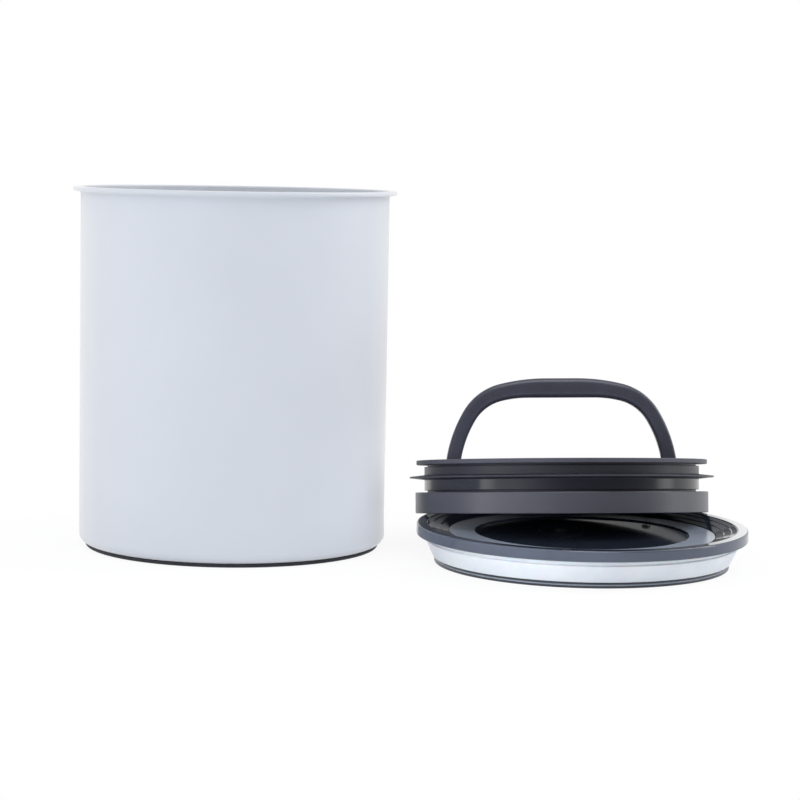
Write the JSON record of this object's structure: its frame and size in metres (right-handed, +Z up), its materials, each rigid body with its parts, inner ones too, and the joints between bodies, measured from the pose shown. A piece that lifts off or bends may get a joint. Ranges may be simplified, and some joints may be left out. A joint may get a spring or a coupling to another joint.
{
  "type": "vacuum coffee canister",
  "caption": "Steel coffee canister with a flat rim, a clear sealing lid, and a press-down inner lid whose folding handle opens a vent valve.",
  "frame": {"origin": "middle of the underside of the canister, on the surface that it stands on", "axes": "+Z up along the canister's axis, +X towards the stack of lids beside it, +Y to the back"},
  "size_m": [0.38, 0.2334, 0.203],
  "materials": {
    "coated_steel": "matte powder coat",
    "base_rubber": "matte",
    "smoke_plastic": "clear, glossy",
    "white_silicone": "translucent satin",
    "housing_plastic": "satin",
    "band_plastic": "fine matte",
    "dark_silicone": "satin",
    "handle_plastic": "fine matte",
    "steel": "drawn",
    "valve_plastic": "fine matte"
  },
  "bodies": {
    "canister": {"canister_shell": "coated_steel", "base_pad": "base_rubber"},
    "outer_lid": {"outer_lid_flange": "smoke_plastic", "outer_lid_pane": "smoke_plastic", "outer_lid_plug": "smoke_plastic", "outer_lid_gasket": "white_silicone"},
    "inner_lid": {"inner_lid_housing": "housing_plastic", "inner_lid_base": "housing_plastic", "inner_lid_band": "band_plastic", "wiper_seal": "dark_silicone", "base_screws": "steel", "shaft_caps": "valve_plastic", "cap_screws": "steel", "valve_spring": "steel", "valve_cover": "valve_plastic", "cover_screws": "steel"},
    "handle": {"handle": "handle_plastic", "cross_shaft": "steel", "handle_pins": "steel", "valve_cam": "valve_plastic", "cam_pin": "steel"},
    "valve": {"valve_stem": "valve_plastic", "valve_disc": "dark_silicone", "valve_retainer": "steel"}
  },
  "joints": [
    {"name": "outer_lid_lift", "type": "slide", "parent": "canister", "child": "outer_lid", "axis": [0, 0, 1], "range_m": [0, 0.22]},
    {"name": "inner_lid_lift", "type": "slide", "parent": "outer_lid", "child": "inner_lid", "axis": [0, 0, 1], "range_m": [0, 0.1]},
    {"name": "handle_fold", "type": "hinge", "parent": "inner_lid", "child": "handle", "pos_m": [0.18843, 0.01099, 0.04532], "axis": [0.9998, 0.0015, 0.0216], "range_deg": [0, 90]},
    {"name": "valve_travel", "type": "slide", "parent": "inner_lid", "child": "valve", "axis": [-0.0216, 0.1411, 0.9898], "range_m": [0, 0.003]}
  ],
  "couplings": [
    {"joint": "valve_travel", "follows": "handle_fold", "m_per_rad": 0.0019098}
  ]
}
